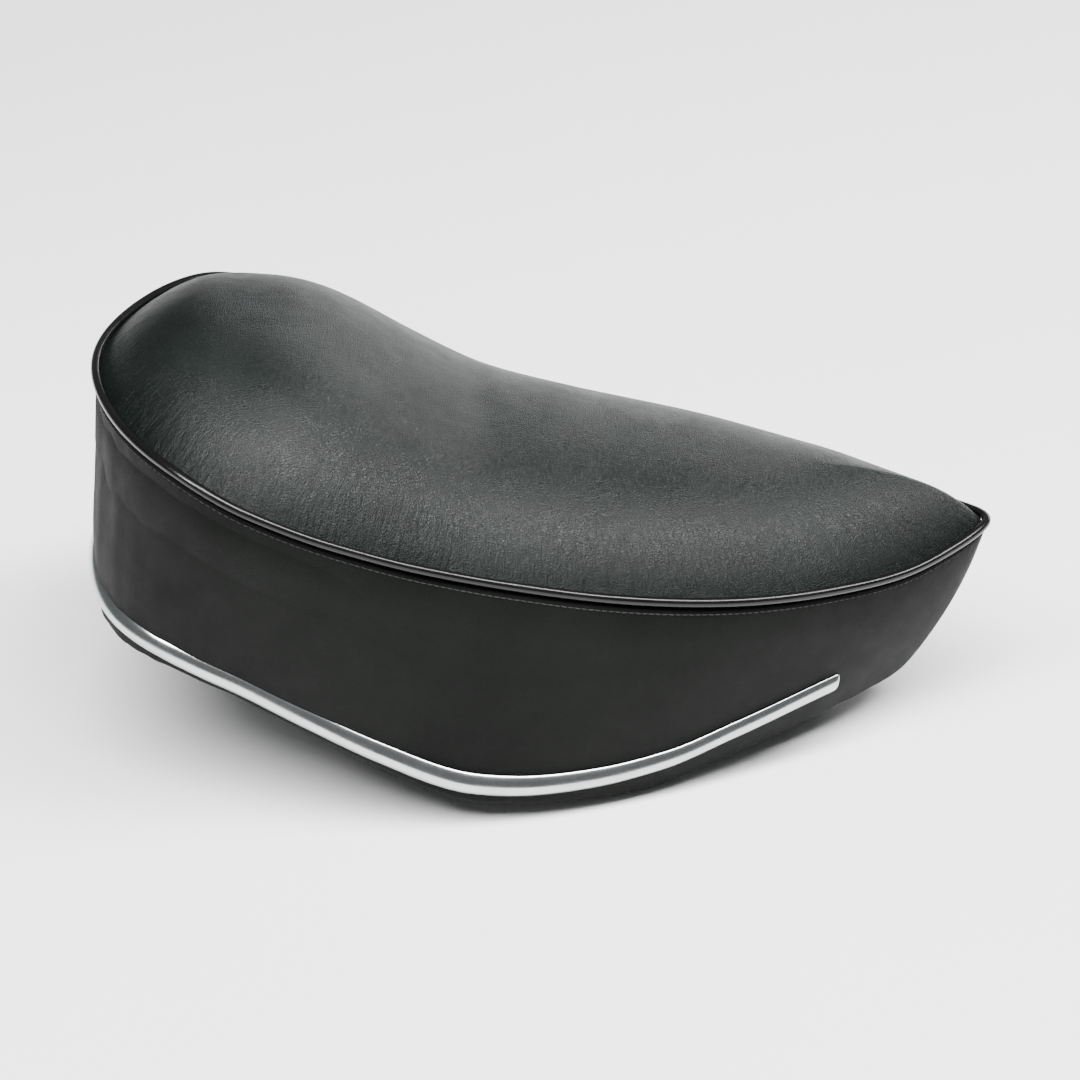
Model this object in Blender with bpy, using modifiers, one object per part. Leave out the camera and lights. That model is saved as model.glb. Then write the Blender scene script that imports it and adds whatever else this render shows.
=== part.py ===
"""Moped single saddle: vinyl covers over foam on a steel pan, hinged to a frame bracket at the nose.

Length runs along X with the nose at +X, width along Y, +Z is up. Z = 0 is the vehicle's seat deck.
The sizes below are millimetres; objects are built in metres.
"""
import math

import bmesh
import bpy
import numpy as np
from mathutils import Matrix, Vector

MM = 0.001

# ---- overall shape -------------------------------------------------------------------------
X_CENTRE = 216.0            # the middle of the length, which lies at X = 0
SEAM_X0, SEAM_LENGTH = 0.0, 440.0
SEAM_HARMONICS = (109.2, 25.5, 5.2, 3.4, -4.5, -1.6, -0.8)     # half width of the piped seam in plan
SEAM_HEIGHT = ((0, 195), (40, 189.5), (80, 174), (120, 156), (160, 139.5), (200, 127), (250, 115.5),
               (310, 106.5), (360, 101.5), (400, 98.2), (425, 100.4), (440, 102.7))
EDGE_X0, EDGE_LENGTH = -6.0, 411.0
EDGE_HARMONICS = (110.4, 22.3, -1.8, 5.4, 3.5, 1.8)            # half width of the skirt's lower edge
EDGE_HEIGHT = ((-6, 76), (25, 73), (64, 63), (103, 46.5), (138, 30.5), (182, 12.5), (228, 5.5),
               (250, 3.5), (272, 3), (304, 7.5), (348, 14.5), (405, 18.5))
CROWN_HEIGHT = ((0, 33), (60, 40.5), (110, 49), (150, 43), (190, 36.5), (230, 38), (290, 38),
                (350, 35), (440, 37))
CROWN_POWER = 3.0           # how square the dome's shoulders are
SPINE = 0.6                 # share of the length taken by the dome's ridge
SKIRT_BULGE = ((-6, 1.2), (60, 3), (200, 4), (440, 5))
RING = 44                   # points round the saddle
DOME_LEVELS = (1.0, 0.965, 0.9, 0.8, 0.66, 0.48, 0.25, 0.0)    # rings from the seam to the ridge

# ---- covers, piping, foam ------------------------------------------------------------------
COVER = 1.4                 # vinyl thickness
PIPING_R = 2.4
PIPING_POINTS = 72
PANEL_INSET = 2.9           # the top panel starts this far inside the seam, clear of the piping
PANEL_RISE = 0.3            # and this far above it
SEAM_DROP = 2.95            # the skirt stops this far below the seam, clear of the piping
SEAM_TUCK = 0.6
GAP = 0.35                  # air between pieces that touch
SLACK = 1.1                 # looser air between the cover and what it is stretched over
HEM_HEIGHT = 4.8            # hem turned up inside the pan's rim
HEM_SLACK = 0.6

# ---- pan -----------------------------------------------------------------------------------
STEEL = 1.5
PAN_HEIGHT = ((-6, 105), (60, 94), (120, 73), (180, 56), (250, 46), (320, 45), (405, 45))
WALL_LEVELS = (0.48, 0.64, 0.82)    # skirt levels above the pan that cover and foam share
PANEL_DROP = 4.0            # pressed recess in the middle of the pan
PAN_LEVELS = (1.0, 0.85, 0.70, 0.6, 0.4, 0.2, 0.0)

# ---- trim strip ----------------------------------------------------------------------------
TRIM_HALF, TRIM_PROUD, TRIM_SHEET = 6.1, 4.6, 0.9
TRIM_GAP = 0.6
TRIM_END_X = 351.0
TRIM_BAND = ((-6, 9), (60, 4), (130, 4.4), (200, 5.5), (250, 9.6), (300, 16), (350, 20.3),
             (405, 23.5))   # vinyl showing below the strip
TRIM_STEPS = 6
STUD_R, STUD_HEAD_R = 2.0, 3.2
STUD_X = (58.0, 168.0, 300.0)
STUD_END = 6.0              # thread standing out past the nut's seat
NUT_SEAT = COVER + SLACK + STEEL + 1.2
STUD_NUT_FLAT, STUD_NUT_HEIGHT = 3.6, 3.6

# ---- hinge and supports --------------------------------------------------------------------
PIN_X, PIN_Z, PIN_R = 384.0, 17.0, 3.0
EYE_R = 6.3
BRIDGE_X, BRIDGE_HALF, BRIDGE_SHEET = 145.0, 14.0, 2.0
BUFFER_Y, BUFFER_TOP = 58.0, 22.0
M6_R, M6_HOLE_R, M6_BORE, M6_NUT_FLAT = 3.0, 3.3, 3.1, 5.0
BOLT_X = (340.0, 358.0)
LEAF_X = 350.0              # where the leaf's web meets the pan's recess
LEAF_OUT, LEAF_IN, LEAF_WEB = 7.5, 5.2, 2.5
EAR_OUT, EAR_IN = 11.3, 9.0
PLATE, PLATE_HALF = 3.0, 27.0
PLATE_X = (316.0, 346.0)
SCREW_X, SCREW_Y = 331.0, 20.0
SPLIT_PIN_Y = 14.2


# ---- curves and surfaces -------------------------------------------------------------------
def spline(stations, x):
    """Smooth monotone curve through (position, value) stations."""
    px = np.array([s[0] for s in stations], float)
    py = np.array([s[1] for s in stations], float)
    h, d = np.diff(px), np.diff(py) / np.diff(px)
    same_way = d[:-1] * d[1:] > 0
    mean = 2 * d[:-1] * d[1:] / np.where(same_way, d[:-1] + d[1:], 1)
    m = np.concatenate([[d[0]], np.where(same_way, mean, 0), [d[-1]]])
    x = np.clip(np.asarray(x, float), px[0], px[-1])
    i = np.clip(np.searchsorted(px, x, side="right") - 1, 0, len(h) - 1)
    t = (x - px[i]) / h[i]
    return ((1 + 2 * t) * (1 - t) ** 2 * py[i] + t * (1 - t) ** 2 * h[i] * m[i]
            + t * t * (3 - 2 * t) * py[i + 1] + t * t * (t - 1) * h[i] * m[i + 1])


def plan_loop(x0, length, harmonics, u):
    """Point of a closed plan outline: u = 0 is the rear tip, pi the nose, near side first."""
    half = sum(a * np.sin((k + 1) * u) for k, a in enumerate(harmonics))
    return np.stack([x0 + length * (1 - np.cos(u)) / 2, -half], -1)


def seam_plan(u):
    return plan_loop(SEAM_X0, SEAM_LENGTH, SEAM_HARMONICS, u)


def edge_plan(u):
    return plan_loop(EDGE_X0, EDGE_LENGTH, EDGE_HARMONICS, u)


def seam_z(u):
    return spline(SEAM_HEIGHT, seam_plan(u)[:, 0])


def edge_z(u):
    return spline(EDGE_HEIGHT, edge_plan(u)[:, 0])


def inward(plan, u):
    """Unit normals of a plan outline, pointing to its inside."""
    e = 1e-3
    t = plan(u + e) - plan(u - e)
    t /= np.linalg.norm(t, axis=1)[:, None]
    return np.stack([-t[:, 1], t[:, 0]], -1)


def angles(n=RING):
    """Ring stations, equally spaced in the outline's own angle."""
    return np.linspace(0, 2 * math.pi, n, endpoint=False)


def u_at(x, side):
    """Ring angle of the lower edge at a length position; side -1 is the near side."""
    c = math.acos(1 - 2 * (x - EDGE_X0) / EDGE_LENGTH)
    return c if side < 0 else 2 * math.pi - c


def level(u, height):
    """Skirt level at a height above the lower edge."""
    return height / (seam_z(u) - edge_z(u))


def skirt(u, s, inset):
    """Skirt surface: level s is 0 at the lower edge and 1 at the seam; inset goes into the saddle."""
    e, t = edge_plan(u), seam_plan(u)
    s = np.broadcast_to(np.asarray(s, float), u.shape)
    n = inward(edge_plan, u) * (1 - s)[:, None] + inward(seam_plan, u) * s[:, None]
    n /= np.linalg.norm(n, axis=1)[:, None]
    out = spline(SKIRT_BULGE, e[:, 0]) * 4 * s * (1 - s)
    p = e * (1 - s)[:, None] + t * s[:, None] + n * (inset - out)[:, None]
    return np.column_stack([p, edge_z(u) * (1 - s) + seam_z(u) * s])


def pan_rise(u):
    """Height of the pan's flat above the lower edge, round the saddle."""
    return spline(PAN_HEIGHT, edge_plan(u)[:, 0]) - edge_z(u)


def wall_levels(u):
    """Levels shared by cover, pan and foam, so that their facets run parallel."""
    rise = pan_rise(u)
    return [level(u, 11.0), level(u, rise - 5.0), level(u, rise + 3.0), *WALL_LEVELS]


def seam_loop(u, inset):
    return seam_plan(u) + inward(seam_plan, u) * inset


def crown(x, t, drop):
    """Height of the dome at a length x and level t, lowered by drop at the ridge."""
    rise = (spline(CROWN_HEIGHT, x) - drop) * (1 - t ** CROWN_POWER)
    return spline(SEAM_HEIGHT, x) + PANEL_RISE + rise


def dome_rings(base, levels, height):
    """Rings that shrink from a base outline to a ridge line; height(x, t) gives their Z."""
    middle = 0.5 * (base[:, 0].max() + base[:, 0].min())
    rings = []
    for t in levels:
        x = middle + (base[:, 0] - middle) * (SPINE + (1 - SPINE) * t)
        rings.append(np.column_stack([x, base[:, 1] * t, height(x, t)]))
    return rings


# ---- object making -------------------------------------------------------------------------
def material(name, colour, rough, metal=0.0, coat=0.0):
    made = bpy.data.materials.new(name)
    made.use_nodes = True
    shader = made.node_tree.nodes["Principled BSDF"]
    shader.inputs["Base Color"].default_value = (*colour, 1)
    shader.inputs["Roughness"].default_value = rough
    shader.inputs["Metallic"].default_value = metal
    shader.inputs["Coat Weight"].default_value = coat
    return made


def place(point):
    """Metres in the saddle's frame from millimetres along it."""
    return Vector(((point[0] - X_CENTRE) * MM, point[1] * MM, point[2] * MM))


def add(name, data, finish, location=(X_CENTRE, 0, 0), axis=(0, 0, 1)):
    """Object whose local Z points along axis."""
    ob = bpy.data.objects.new(name, data)
    ob.location = place(location)
    ob.rotation_euler = Vector((0, 0, 1)).rotation_difference(Vector(axis)).to_euler()
    data.materials.append(finish)
    PARTS.objects.link(ob)
    return ob


def add_bmesh(name, bm, finish, location=(X_CENTRE, 0, 0), axis=(0, 0, 1)):
    mesh = bpy.data.meshes.new(name)
    bm.to_mesh(mesh)
    bm.free()
    return add(name, mesh, finish, location, axis)


def loft(name, rings, finish, closed=True):
    """Skin of rings with equal point counts; closed joins the last ring to the first."""
    n, m = len(rings[0]), len(rings)
    faces = []
    for k in range(m if closed else m - 1):
        a, b = k * n, (k + 1) % m * n
        faces += [(a + i, a + (i + 1) % n, b + (i + 1) % n, b + i) for i in range(n)]
    if not closed:
        faces.append(tuple(range(n))[::-1])
        faces.append(tuple(range((m - 1) * n, m * n)))
    mesh = bpy.data.meshes.new(name)
    mesh.from_pydata([tuple(place(p)) for ring in rings for p in ring], [], faces)
    tidy_mesh(mesh, 1e-6)
    mesh.shade_smooth()
    return add(name, mesh, finish)


def ridge_solid(name, rings, finish):
    """Closed solid from rings whose first and last one are folded flat onto the ridge at Y = 0."""
    for end in (rings[0], rings[-1]):
        end[:, 1] = 0
    return loft(name, rings, finish, closed=False)


def tidy_mesh(mesh, distance):
    """Welds points closer than distance, drops faces with no area and turns faces outwards."""
    bm = bmesh.new()
    bm.from_mesh(mesh)
    bmesh.ops.remove_doubles(bm, verts=bm.verts, dist=distance)
    bmesh.ops.dissolve_degenerate(bm, edges=bm.edges, dist=distance)
    flat = [f for f in bm.faces if f.calc_area() < 1e-12]
    bmesh.ops.delete(bm, geom=flat, context="FACES_ONLY")
    bmesh.ops.recalc_face_normals(bm, faces=bm.faces)
    bm.to_mesh(mesh)
    bm.free()


def turned(name, profile, origin, axis, finish, segments=24):
    """Turned piece: its profile of (radius, distance along the axis) runs down the outer side.

    A profile that starts on the axis ends on it too; any other one closes on itself round a bore.
    """
    n = len(profile)
    edges = [(i, i + 1) for i in range(n - 1)]
    if profile[0][0] > 0:
        edges.append((n - 1, 0))
    mesh = bpy.data.meshes.new(name)
    mesh.from_pydata([(r * MM, 0, d * MM) for r, d in profile], edges, [])
    ob = add(name, mesh, finish, origin, axis)
    screw = ob.modifiers.new("turn", "SCREW")
    screw.axis = "Z"
    screw.steps = segments
    screw.render_steps = segments
    screw.use_merge_vertices = True
    screw.merge_threshold = 0.00001
    return ob


def cylinder(name, centre, axis, radius, length, segments=24, finish=None):
    """Cylinder centred on a point, with a corner of its outline on its own X axis."""
    bm = bmesh.new()
    bmesh.ops.create_cone(bm, cap_ends=True, segments=segments, radius1=radius * MM, radius2=radius * MM,
                          depth=length * MM, matrix=Matrix.Rotation(math.radians(90), 4, "Z"))
    return add_bmesh(name, bm, finish or CUTTER, centre, axis)


def box(name, low, high, finish=None):
    """Box between two corners."""
    bm = bmesh.new()
    size = [(b - a) * MM for a, b in zip(low, high)]
    bmesh.ops.create_cube(bm, size=1.0, matrix=Matrix.Diagonal((*size, 1.0)))
    centre = [(a + b) / 2 for a, b in zip(low, high)]
    return add_bmesh(name, bm, finish or CUTTER, centre)


def plate(name, outline, half, finish):
    """Plate with an outline in X and Z, reaching half to each side of Y = 0."""
    curve = bpy.data.curves.new(name, "CURVE")
    curve.dimensions = "2D"
    curve.fill_mode = "BOTH"
    curve.extrude = half * MM
    line = curve.splines.new("POLY")
    line.points.add(len(outline) - 1)
    for point, (x, z) in zip(line.points, outline):
        point.co = ((x - X_CENTRE) * MM, z * MM, 0, 1)
    line.use_cyclic_u = True
    flat = bpy.data.objects.new(name, curve)
    flat.rotation_euler = (math.radians(90), 0, 0)
    PARTS.objects.link(flat)
    bpy.context.view_layer.update()
    mesh = bpy.data.meshes.new_from_object(flat.evaluated_get(bpy.context.evaluated_depsgraph_get()))
    mesh.transform(flat.matrix_world)
    bpy.data.objects.remove(flat)
    tidy_mesh(mesh, 1e-6)
    mesh.materials.clear()
    return add(name, mesh, finish)


def shape(target, cut, join=()):
    """Joins pieces to the target, then cuts others from it, and puts them all with the cutters."""
    for tool in (*join, *cut):
        PARTS.objects.unlink(tool)
        CUTTERS.objects.link(tool)
        tool.hide_render = True
        tool.display_type = "WIRE"
        boolean = target.modifiers.new("shape", "BOOLEAN")
        boolean.operation = "UNION" if tool in join else "DIFFERENCE"
        boolean.solver = "EXACT"
        boolean.object = tool
    bpy.context.view_layer.update()
    mesh = bpy.data.meshes.new_from_object(target.evaluated_get(bpy.context.evaluated_depsgraph_get()))
    target.modifiers.clear()
    tidy_mesh(mesh, 1e-5)
    while len(mesh.materials) > 1:
        mesh.materials.pop()
    mesh.name = target.name
    target.data = mesh


def hexnut(name, origin, axis, low, high, half_flat, bore, finish):
    """Hexagon nut with a plain bore, between two distances along the axis."""
    centre = np.array(origin) + np.array(axis) * (low + high) / 2
    corner = half_flat / math.cos(math.pi / 6)
    ob = cylinder(name, centre, axis, corner, high - low, 6, finish)
    shape(ob, [cylinder("nut_bore", centre, axis, bore, high - low + 2, 16)])
    return ob


def arc(cx, cz, r, a0, a1, n):
    """Points on an arc in X and Z, angles in degrees."""
    turns = [math.radians(a0 + (a1 - a0) * i / n) for i in range(n + 1)]
    return [(cx + r * math.cos(a), cz + r * math.sin(a)) for a in turns]


# ---- covers ---------------------------------------------------------------------------------
def top_cover():
    """Domed vinyl panel, one thickness of vinyl, open underneath."""
    u = angles()
    outer = dome_rings(seam_loop(u, PANEL_INSET), DOME_LEVELS, lambda x, t: crown(x, t, 0))
    inner = dome_rings(seam_loop(u, PANEL_INSET + COVER), DOME_LEVELS, lambda x, t: crown(x, t, COVER))
    vinyl = material("top_vinyl", (0.025, 0.027, 0.026), 0.42)
    return ridge_solid("top_cover", outer[::-1] + inner, vinyl)


def side_cover(studs):
    """Skirt with its hem folded round the pan's rim and up inside it."""
    u = angles()
    walls = wall_levels(u)
    inner = 2 * COVER + SLACK + STEEL + HEM_SLACK
    rings = [skirt(u, 1.0, SEAM_TUCK) - (0, 0, SEAM_DROP)]
    rings += [skirt(u, s, 0.0) for s in walls[::-1]]
    rings += [skirt(u, level(u, 2.0), 0.0), skirt(u, 0.0, 1.2), skirt(u, 0.0, inner - 1.0)]
    rings += [skirt(u, level(u, 2.0), inner), skirt(u, level(u, HEM_HEIGHT), inner)]
    rings += [skirt(u, level(u, HEM_HEIGHT), inner - COVER), skirt(u, level(u, COVER), inner - COVER)]
    rings += [skirt(u, level(u, COVER), COVER)]
    rings += [skirt(u, s, COVER) for s in walls]
    rings += [skirt(u, 1.0, SEAM_TUCK + COVER) - (0, 0, SEAM_DROP)]
    ob = loft("side_cover", rings, material("side_vinyl", (0.022, 0.024, 0.023), 0.38))
    shape(ob, [cylinder("cover_hole", c, n, STUD_R + 0.35, 17, 12) for c, n in studs])
    return ob


def piping():
    """Round welt along the seam."""
    u = angles(PIPING_POINTS)
    curve = bpy.data.curves.new("piping", "CURVE")
    curve.dimensions = "3D"
    curve.bevel_depth = PIPING_R * MM
    curve.bevel_resolution = 2
    line = curve.splines.new("POLY")
    line.points.add(PIPING_POINTS - 1)
    for point, (x, y), z in zip(line.points, seam_plan(u), seam_z(u)):
        point.co = (*(place((x, y, z)) - place((X_CENTRE, 0, 0))), 1)
    line.use_cyclic_u = True
    return add("piping", curve, material("piping_vinyl", (0.015, 0.015, 0.015), 0.2, coat=0.4))


def foam_core():
    """Moulded foam filling the space between the pan and the covers."""
    u = angles()
    clear = COVER + SLACK
    shoulder = pan_outline(u, 5.5)
    floor = spline(PAN_HEIGHT, shoulder[:, 0]) + SLACK
    rings = dome_rings(shoulder, (0.0, 0.25, 0.5, 0.72, 0.95), lambda x, t: spline(PAN_HEIGHT, x) + SLACK)
    rings += [np.column_stack([shoulder, floor])]
    rings += [skirt(u, s, clear) for s in wall_levels(u)[2:]]
    inset = PANEL_INSET + COVER + GAP
    rings += [skirt(u, 1.0, inset) - (0, 0, SEAM_DROP + 0.25)]
    rings += dome_rings(seam_loop(u, inset), DOME_LEVELS, lambda x, t: crown(x, t, COVER + GAP))
    return ridge_solid("foam_core", rings, material("foam", (0.75, 0.66, 0.38), 0.95))


# ---- pan ------------------------------------------------------------------------------------
def pan_outline(u, inset):
    """Plan outline of the pan's shoulder."""
    return skirt(u, level(u, pan_rise(u)), COVER + SLACK + inset)[:, :2]


def pan_rings(u, off):
    """Rings from the rim up the wall and over the flat to the ridge; off is the metal's depth."""
    base = COVER + SLACK + off

    def flat(x, t):
        recess = PANEL_DROP * np.clip((0.69 - t) / 0.08, 0, 1)
        return spline(PAN_HEIGHT, x) - off - recess

    rings = [skirt(u, level(u, COVER + GAP), base), skirt(u, level(u, 11.0), base)]
    rings += [skirt(u, level(u, pan_rise(u) - 5.0), base)]
    rings += [skirt(u, level(u, pan_rise(u) - 1.5 - off * 0.8), base + 1.4)]
    return rings + dome_rings(pan_outline(u, 5.0 + off * 0.3), PAN_LEVELS, flat)


def seat_pan(studs):
    """Pressed-steel pan: an inverted tray with a recessed middle panel."""
    u = angles()
    rings = pan_rings(u, 0.0)[::-1] + pan_rings(u, STEEL)
    ob = ridge_solid("seat_pan", rings, material("pan_steel", (0.03, 0.03, 0.032), 0.45, 0.6))
    holes = [cylinder("pan_hole", c, n, STUD_R + 0.3, 17, 12) for c, n in studs]
    holes += [cylinder("pan_bolt_hole", (x, 0, 40), (0, 0, 1), M6_HOLE_R, 20, 20) for x in BOLT_X]
    shape(ob, holes)
    return ob


# ---- trim -----------------------------------------------------------------------------------
def trim_frame(u):
    """Centre line of the moulding on the skirt, its outward normals and its upward direction."""
    h = TRIM_HALF + spline(TRIM_BAND, edge_plan(u)[:, 0])
    p = skirt(u, level(u, h), 0.0)
    up = skirt(u, level(u, h + TRIM_HALF), 0.0) - skirt(u, level(u, h - TRIM_HALF), 0.0)
    up /= np.linalg.norm(up, axis=1)[:, None]
    out = np.column_stack([-inward(edge_plan, u), np.zeros(len(u))])
    out -= up * (out * up).sum(1)[:, None]
    return p, out / np.linalg.norm(out, axis=1)[:, None], up


def trim_section():
    """Rolled section, open at the back: points of (distance out, distance up), outer face first."""
    points = []
    for sheet, order in ((0.0, 1), (TRIM_SHEET, -1)):
        for a in [math.pi * (k / TRIM_STEPS - 0.5) for k in range(TRIM_STEPS + 1)][::order]:
            share = abs(math.sin(a))
            crest = (TRIM_PROUD - sheet - TRIM_GAP) * (1 - share ** 1.5) ** 0.7
            points.append((TRIM_GAP + crest, (TRIM_HALF - sheet) * math.sin(a)))
    return points


def trim_strip():
    """Rolled moulding running round the rear from side to side."""
    end = u_at(TRIM_END_X, -1)
    ring = angles()
    ring = np.where(ring > math.pi, ring - 2 * math.pi, ring)
    u = np.sort(np.concatenate([[-end, end], ring[np.abs(ring) < end - 0.02]]))
    rings = [[p + n * o + up * v for o, v in trim_section()] for p, n, up in zip(*trim_frame(u))]
    return loft("trim_strip", rings, material("trim_bright", (0.72, 0.73, 0.74), 0.16, 1.0), closed=False)


def stud_places():
    """Centre on the skirt and outward normal of each trim stud."""
    u = np.array([0.0] + [u_at(x, side) for side in (-1, 1) for x in STUD_X])
    p, n, _ = trim_frame(u)
    return list(zip(p, n))


def trim_studs(places):
    """Studs with flat heads behind the moulding, and a nut on each inside the pan."""
    steel = material("stud_zinc", (0.6, 0.58, 0.5), 0.35, 1.0)
    nut = material("nut_zinc", (0.62, 0.6, 0.55), 0.35, 1.0)
    profile = ((0, 1.9), (STUD_HEAD_R, 1.9), (STUD_HEAD_R, 0.9), (STUD_R, 0.9),
               (STUD_R, -NUT_SEAT - STUD_END), (0, -NUT_SEAT - STUD_END))
    for i, (centre, normal) in enumerate(places, 1):
        turned(f"trim_stud_{i}", profile, centre, normal, steel, 12)
        hexnut(f"trim_nut_{i}", centre, normal, -NUT_SEAT - STUD_NUT_HEIGHT, -NUT_SEAT,
               STUD_NUT_FLAT, STUD_R + 0.1, nut)


# ---- rear bridge and buffers ------------------------------------------------------------------
def rear_bridge():
    """Folded strip under the pan that carries the two rubber buffers."""
    low, t = BUFFER_TOP + GAP, BRIDGE_SHEET
    rings = []
    for x in np.linspace(BRIDGE_X - BRIDGE_HALF, BRIDGE_X + BRIDGE_HALF, 5):
        top = float(spline(PAN_HEIGHT, x)) - STEEL - GAP
        half = [(97, top), (79, top), (74, low + t)]
        under = [(76, low), (81, top - t), (97, top - t)]
        side = half + [(-y, z) for y, z in half[::-1]] + [(-y, z) for y, z in under[::-1]] + under
        rings.append([(x, y, z) for y, z in side])
    ob = loft("rear_bridge", rings, material("bridge_steel", (0.035, 0.035, 0.037), 0.45, 0.6), closed=False)
    ob.data.shade_flat()
    shape(ob, [cylinder("bridge_hole", (BRIDGE_X, side * BUFFER_Y, low), (0, 0, 1), 3.4, 14)
               for side in (-1, 1)])
    return ob


def buffers():
    """Rubber feet, each with a screw sunk from below and a nut above the bridge."""
    rubber = material("buffer_rubber", (0.02, 0.02, 0.02), 0.8)
    zinc = material("buffer_zinc", (0.62, 0.6, 0.55), 0.35, 1.0)
    top = BUFFER_TOP + 2 * GAP + BRIDGE_SHEET
    foot = ((13.0, BUFFER_TOP), (15.0, 1.5), (14.0, 0), (7.0, 0), (7.0, 13.0), (3.5, 13.0), (3.5, BUFFER_TOP))
    screw = ((0, top + 8), (M6_R, top + 8), (M6_R, 12.7), (5.5, 12.7), (5.5, 8.8), (0, 8.8))
    for tag, side in (("near", -1), ("far", 1)):
        origin = (BRIDGE_X, side * BUFFER_Y, 0)
        turned(f"buffer_{tag}", foot, origin, (0, 0, 1), rubber)
        turned(f"buffer_screw_{tag}", screw, origin, (0, 0, 1), zinc, 20)
        hexnut(f"buffer_nut_{tag}", origin, (0, 0, 1), top, top + 5, M6_NUT_FLAT, M6_BORE, zinc)


# ---- hinge ------------------------------------------------------------------------------------
def recess_height():
    """Top of the pan's recessed panel above the hinge leaf."""
    return float(spline(PAN_HEIGHT, LEAF_X)) - PANEL_DROP


def hinge_leaf():
    """Inverted channel under the pan; its ears drop to the pin."""
    top = recess_height() - STEEL - GAP
    outline = [(332, top), (332, top - 6), (374, PIN_Z - 5.0), *arc(PIN_X, PIN_Z, EYE_R, -110, 30, 8)]
    outline += [(373, top - 6), (372, top)]
    ob = plate("hinge_leaf", outline, LEAF_OUT, material("leaf_steel", (0.03, 0.03, 0.032), 0.4, 0.6))
    tools = [box("leaf_slot", (320, -LEAF_IN, 0), (400, LEAF_IN, top - LEAF_WEB))]
    tools += [cylinder("leaf_eye", (PIN_X, 0, PIN_Z), (0, 1, 0), PIN_R + 1.35, 40)]
    tools += [cylinder("leaf_hole", (x, 0, top), (0, 0, 1), M6_HOLE_R, 20) for x in BOLT_X]
    shape(ob, tools)
    return ob


def leaf_bolts():
    """Low round-head bolts from the pan's recess down through the leaf's web."""
    zinc = material("leaf_bolt_zinc", (0.62, 0.6, 0.55), 0.35, 1.0)
    seat = recess_height() + 0.3
    under = recess_height() - STEEL - GAP - LEAF_WEB - 0.3
    bolt = ((0, seat + 2.4), (3.5, seat + 2.4), (5.6, seat + 1.3), (6.0, seat), (M6_R, seat),
            (M6_R, under - 6.5), (0, under - 6.5))
    for i, x in enumerate(BOLT_X, 1):
        turned(f"leaf_bolt_{i}", bolt, (x, 0, 0), (0, 0, 1), zinc, 20)
        hexnut(f"leaf_nut_{i}", (x, 0, 0), (0, 0, 1), under - 4.6, under, M6_NUT_FLAT, M6_BORE, zinc)


def hinge_bushes():
    """Flanged nylon bushes in the leaf's eyes."""
    nylon = material("bush_nylon", (0.75, 0.74, 0.68), 0.5)
    bore, body, flange = PIN_R + 0.07, PIN_R + 1.25, 5.6
    bush = ((flange, 8.8), (flange, 7.65), (body, 7.65), (body, 5.0), (bore, 5.0), (bore, 8.8))
    for tag, side in (("near", -1), ("far", 1)):
        turned(f"hinge_bush_{tag}", bush, (PIN_X, 0, PIN_Z), (0, side, 0), nylon)


def frame_bracket():
    """Base plate bolted to the vehicle, with two ears that hold the pin."""
    grey = material("bracket_steel", (0.045, 0.045, 0.047), 0.4, 0.6)
    outline = [(PLATE_X[0], 0), (360, 0), (379, 11.5), *arc(PIN_X, PIN_Z, EYE_R, -90, 100, 10)]
    outline += [(366, 14), (352, PLATE), (PLATE_X[0], PLATE)]
    ob = plate("frame_bracket", outline, EAR_OUT, grey)
    wings = box("plate_wings", (PLATE_X[0], -PLATE_HALF, 0), (PLATE_X[1], PLATE_HALF, PLATE))
    tools = [box("ear_slot", (349, -EAR_IN, PLATE + 0.2), (400, EAR_IN, 40))]
    tools += [cylinder("bracket_eye", (PIN_X, 0, PIN_Z), (0, 1, 0), PIN_R + 0.07, 40)]
    tools += [cylinder("bracket_hole", (SCREW_X, side * SCREW_Y, PLATE / 2), (0, 0, 1), M6_HOLE_R, 12)
              for side in (-1, 1)]
    shape(ob, tools, join=[wings])
    return ob


def hinge_pin():
    """Headed pin with its washer and the split pin that keeps it in."""
    steel = material("pin_zinc", (0.6, 0.58, 0.52), 0.3, 1.0)
    origin = (PIN_X, 0, PIN_Z)
    pin = ((0, 16.2), (PIN_R - 0.6, 16.2), (PIN_R, 15.6), (PIN_R, -11.6), (5.0, -11.6), (5.0, -13.6),
           (0, -13.6))
    shape(turned("hinge_pin", pin, origin, (0, 1, 0), steel),
          [cylinder("pin_hole", (PIN_X, SPLIT_PIN_Y, PIN_Z), (1, 0, 0), 1.05, 12, 16)])
    bore = PIN_R + 0.1
    turned("pin_washer", ((6.0, 12.6), (6.0, 11.6), (bore, 11.6), (bore, 12.6)), origin, (0, 1, 0), steel)
    split = ((0, 7.2), (0.8, 7.2), (1.5, 6.6), (1.5, 4.4), (0.75, 4.0), (0.75, -5.0), (0, -5.0))
    turned("split_pin", split, (PIN_X, SPLIT_PIN_Y, PIN_Z), (-1, 0, 0), steel, 10)


def hang_on_hinge():
    """Parents everything that lifts with the saddle to an empty on the hinge's axis."""
    axis = bpy.data.objects.new("seat_hinge_axis", None)
    axis.location = place((PIN_X, 0, PIN_Z))
    fixed = ("frame_bracket", "hinge_pin", "pin_washer", "split_pin")
    for ob in PARTS.objects:
        if ob.name not in fixed:
            ob.parent = axis
            ob.matrix_parent_inverse = Matrix.Translation(-axis.location)
    PARTS.objects.link(axis)


def build():
    places = stud_places()
    top_cover()
    side_cover(places)
    piping()
    foam_core()
    seat_pan(places)
    trim_strip()
    trim_studs(places)
    rear_bridge()
    buffers()
    hinge_leaf()
    leaf_bolts()
    hinge_bushes()
    frame_bracket()
    hinge_pin()
    hang_on_hinge()


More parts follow.
